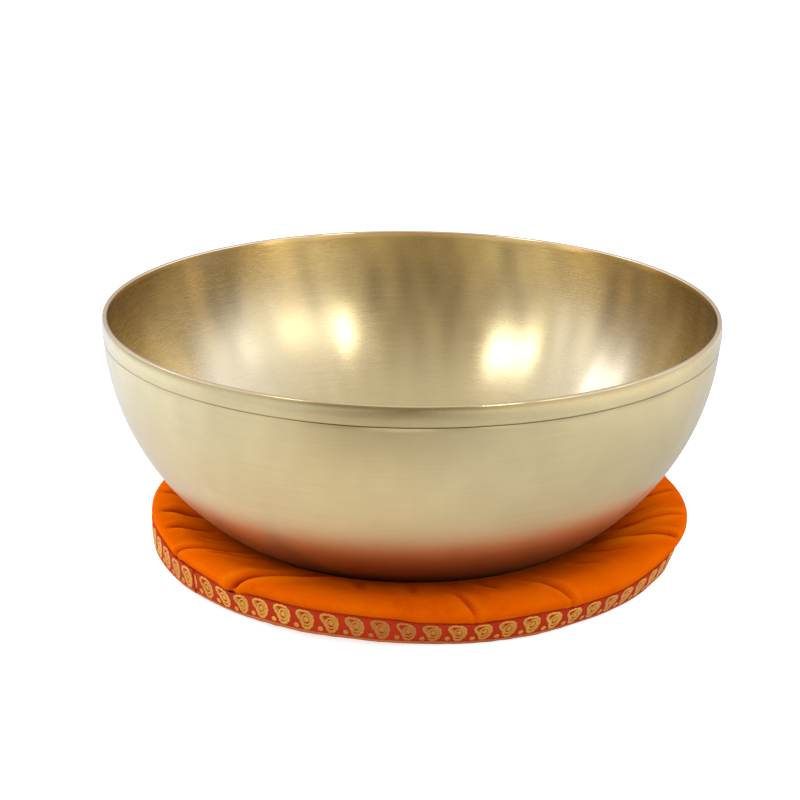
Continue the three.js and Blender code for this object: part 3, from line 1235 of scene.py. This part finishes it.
def make_floor():
    half = FLOOR_SIZE / 2
    corners = [(-half, -half, 0), (half, -half, 0), (half, half, 0), (-half, half, 0)]
    floor = new_object("floor", mesh_from("floor", corners, [(0, 1, 2, 3)], smooth=False))
    n = Nodes("pale_floor")
    x, y, _ = n.axes(n.place())
    # Painted shade on the floor in front of the bowl, which the bronze mirrors as a darker band.
    aside = n.times(n.math("ADD", x, 0.07), 1 / 0.36)
    ahead = n.smooth(n.times(y, -1.0), 0.12, 0.52)
    floor_painted_shade = n.times(n.bell(n.times(aside, aside)), ahead)
    for shade_x, shade_y, reach, weight in PAINTED_FLOOR_SHADES:
        across, along = n.math("SUBTRACT", x, shade_x), n.math("SUBTRACT", y, shade_y)
        away = n.math("MULTIPLY_ADD", across, across, n.times(along, along))
        patch = n.bell(away, -1 / reach**2)
        floor_painted_shade = n.math("MAXIMUM", floor_painted_shade, n.times(patch, weight))
    # Painted light: the floor's colour changes from side to side, as tinted light falling on it,
    # which the bronze mirrors.
    sides = n.math("ADD", x, 0.5)
    floor_painted_light = n.ramp(
        sides,
        [
            (0.1, (0.88, 0.94, 1.0)),
            (0.22, (0.84, 0.89, 0.98)),
            (0.36, (0.84, 0.82, 0.79)),
            (0.48, (0.86, 0.85, 0.82)),
            (0.56, (0.80, 0.82, 0.86)),
            (0.72, (0.72, 0.77, 0.84)),
            (0.95, (1.0, 1.0, 1.0)),
        ],
    )
    n.set(n.shader, "Base Color", n.mix(floor_painted_shade, floor_painted_light, (0.30, 0.27, 0.22, 1)))
    n.shader.inputs["Roughness"].default_value = 0.9
    n.shader.inputs["Specular IOR Level"].default_value = 0.0
    n.shader.inputs["Emission Color"].default_value = (1, 1, 1, 1)
    seen = n.add("ShaderNodeLightPath").outputs["Is Camera Ray"]
    n.set(n.shader, "Emission Strength", n.times(seen, 0.8))
    floor.data.materials.append(n.material)


def make_light(name, azimuth, elevation, distance, size, glow, colour=(1, 1, 1), mirrored=True):
    """A softbox of a given radiance that points at the bowl. Azimuth is from +Y towards +X. One
    that isn't mirrored lights the scene without showing in the bronze."""
    a, e = math.radians(azimuth), math.radians(elevation)
    direction = Vector((math.sin(a) * math.cos(e), math.cos(a) * math.cos(e), math.sin(e)))
    light = bpy.data.lights.new(name, "AREA")
    light.shape = "RECTANGLE"
    light.size, light.size_y = size
    light.energy = glow * math.pi * size[0] * size[1]
    light.color = colour
    holder = new_object(name, light)
    holder.location = Vector((0, 0, 0.1)) + direction * distance
    holder.rotation_euler = direction.to_track_quat("Z", "Y").to_euler()
    holder.visible_camera = False
    holder.visible_glossy = mirrored


# Light round the horizon, from behind the camera (0) by the sides (0.5) to behind the bowl (1).
WORLD_ROUND = [
    (0.0, (0.37, 0.31, 0.23)),
    (0.025, (0.37, 0.31, 0.23)),
    (0.06, (0.46, 0.41, 0.34)),
    (0.12, (0.72, 0.69, 0.65)),
    (0.30, (1.05, 1.08, 1.22)),
    (0.55, (1.10, 1.18, 1.50)),
    (0.75, (1.18, 1.34, 1.80)),
    (0.90, (0.72, 0.72, 0.78)),
    (1.0, (0.56, 0.54, 0.58)),
]
WORLD_TOP = (0.66, 0.63, 0.57)
DARK_CENTRE = math.radians(-176)


def make_world():
    """Cool window light from both sides, dimmer behind and overhead, and a darker, warmer room
    behind the camera."""
    world = bpy.data.worlds.new("studio")
    bpy.context.scene.world = world
    world.use_nodes = True
    n = Nodes.__new__(Nodes)
    n.tree = world.node_tree
    n.tree.nodes.clear()
    x, y, z = n.axes(n.add("ShaderNodeTexCoord").outputs["Generated"])
    level = n.math("SQRT", n.math("MULTIPLY_ADD", x, x, n.times(y, y)))
    ahead = n.times(y, math.cos(DARK_CENTRE))
    towards = n.math("MULTIPLY_ADD", x, math.sin(DARK_CENTRE), ahead)
    towards = n.math("DIVIDE", towards, n.math("MAXIMUM", level, 0.01))
    round_it = n.ramp(n.math("MULTIPLY_ADD", towards, -0.5, 0.5), WORLD_ROUND)
    upward = n.ramp(z, [(0.5, (0, 0, 0)), (0.9, (1, 1, 1))])
    low = n.ramp(z, [(0.0, (0.55,) * 3), (0.3, (1, 1, 1))])
    back = n.add("ShaderNodeBackground")
    colour = n.mix(1.0, n.mix(upward, round_it, (*WORLD_TOP, 1)), low, "MULTIPLY")
    n.set(back, 0, colour)
    n.tree.links.new(back.outputs[0], n.add("ShaderNodeOutputWorld").inputs[0])


CAMERA_DISTANCE = 1.199
CAMERA_HEIGHT_ANGLE = math.radians(16.39)
CAMERA_PITCH = math.radians(18.52)
CAMERA_YAW = math.radians(-0.27)
CAMERA_ROLL = math.radians(0.56)
CAMERA_LENS = 111.3


def make_camera():
    camera = bpy.data.cameras.new("camera")
    camera.lens = CAMERA_LENS
    camera.sensor_width = 36
    holder = new_object("camera", camera)
    down, yaw, roll = CAMERA_PITCH, CAMERA_YAW, CAMERA_ROLL
    look = Vector((math.sin(yaw) * math.cos(down), math.cos(yaw) * math.cos(down), -math.sin(down)))
    right = look.cross(Vector((0, 0, 1))).normalized()
    up = right.cross(look)
    right, up = (
        right * math.cos(roll) + up * math.sin(roll),
        up * math.cos(roll) - right * math.sin(roll),
    )
    turned = Matrix((right, up, -look)).transposed().to_4x4()
    back = CAMERA_DISTANCE * math.cos(CAMERA_HEIGHT_ANGLE)
    above = CAMERA_DISTANCE * math.sin(CAMERA_HEIGHT_ANGLE)
    turned.translation = Vector((0, -back, RIM_Z + above))
    holder.matrix_world = turned
    camera.clip_start = 0.05
    bpy.context.scene.camera = holder


make_floor()
make_world()
COOL = (0.85, 0.95, 1.2)
make_light("front_right_box", 147, 32, 2.4, (0.50, 0.64), 5.0)
make_light("front_left_box", -130, 38, 2.4, (0.54, 0.74), 4.5)
make_light("front_right_wash", 126, 26, 2.5, (0.6, 0.6), 1.3)
make_light("right_window", 99, 24, 2.4, (0.26, 0.55), 1.4, COOL)
make_light("left_window", -78, 28, 2.4, (0.30, 0.55), 2.8, (1.0, 1.0, 1.4))
make_light("left_near_box", -81, 33, 0.74, (0.6, 0.6), 2.4, (0.86, 0.98, 1.4), False)
make_light("right_near_box", 86, 33, 0.86, (0.6, 0.6), 1.6, COOL, False)
make_camera()

view = bpy.context.scene.view_settings
view.view_transform = "Standard"
view.look = "None"
view.exposure = 0.0
